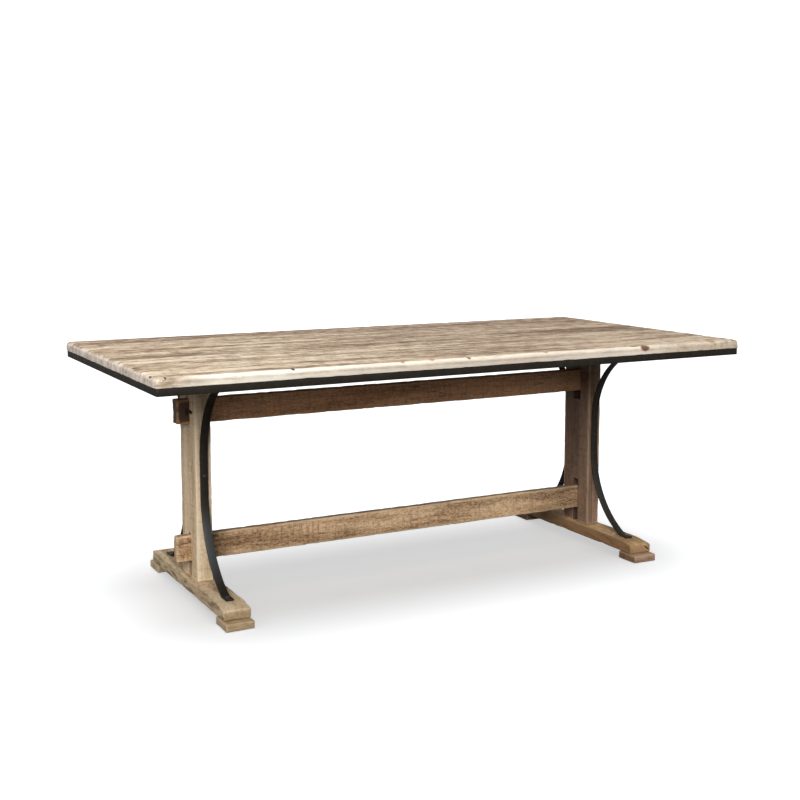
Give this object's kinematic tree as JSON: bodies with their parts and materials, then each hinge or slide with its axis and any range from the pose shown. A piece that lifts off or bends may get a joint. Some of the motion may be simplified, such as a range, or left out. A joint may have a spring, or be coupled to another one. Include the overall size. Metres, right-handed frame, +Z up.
{
  "type": "trestle dining table",
  "caption": "Long wooden dining table: a boarded top in a flat iron frame on two pedestal trestles, tied by through rails and braced by bent iron straps.",
  "frame": {"origin": "on the floor under the middle of the tabletop", "axes": "+X along the boards to the right, +Y to the back, +Z up"},
  "size_m": [2, 1, 0.76],
  "materials": {
    "top_wood": "weathered, rough-sawn, clear matt",
    "trestle_wood": "weathered, rough-sawn, matt",
    "stretcher_wood": "rough-sawn, matt",
    "foot_wood": "worn, matt",
    "black_iron": "blackened, satin",
    "screw_steel": "blackened, satin"
  },
  "bodies": {
    "root": {"top_plank_1": "top_wood", "top_plank_2": "top_wood", "top_plank_3": "top_wood", "top_plank_4": "top_wood", "top_plank_5": "top_wood", "top_plank_6": "top_wood", "top_plank_7": "top_wood", "frame_rail_front": "black_iron", "frame_rail_back": "black_iron", "frame_rail_left": "black_iron", "frame_rail_right": "black_iron", "strap_front_left": "black_iron", "strap_back_left": "black_iron", "strap_front_right": "black_iron", "strap_back_right": "black_iron", "bearer_left": "trestle_wood", "post_left": "trestle_wood", "foot_left": "foot_wood", "bearer_right": "trestle_wood", "post_right": "trestle_wood", "foot_right": "foot_wood", "pad_front_left": "foot_wood", "pad_back_left": "foot_wood", "pad_front_right": "foot_wood", "pad_back_right": "foot_wood", "upper_stretcher": "stretcher_wood", "lower_stretcher": "stretcher_wood", "stretcher_pegs": "stretcher_wood", "strap_post_screws": "screw_steel", "strap_foot_screws": "screw_steel", "strap_bearer_screws": "screw_steel", "frame_screws": "screw_steel", "bearer_screws": "screw_steel", "pad_screws": "screw_steel"}
  },
  "joints": []
}
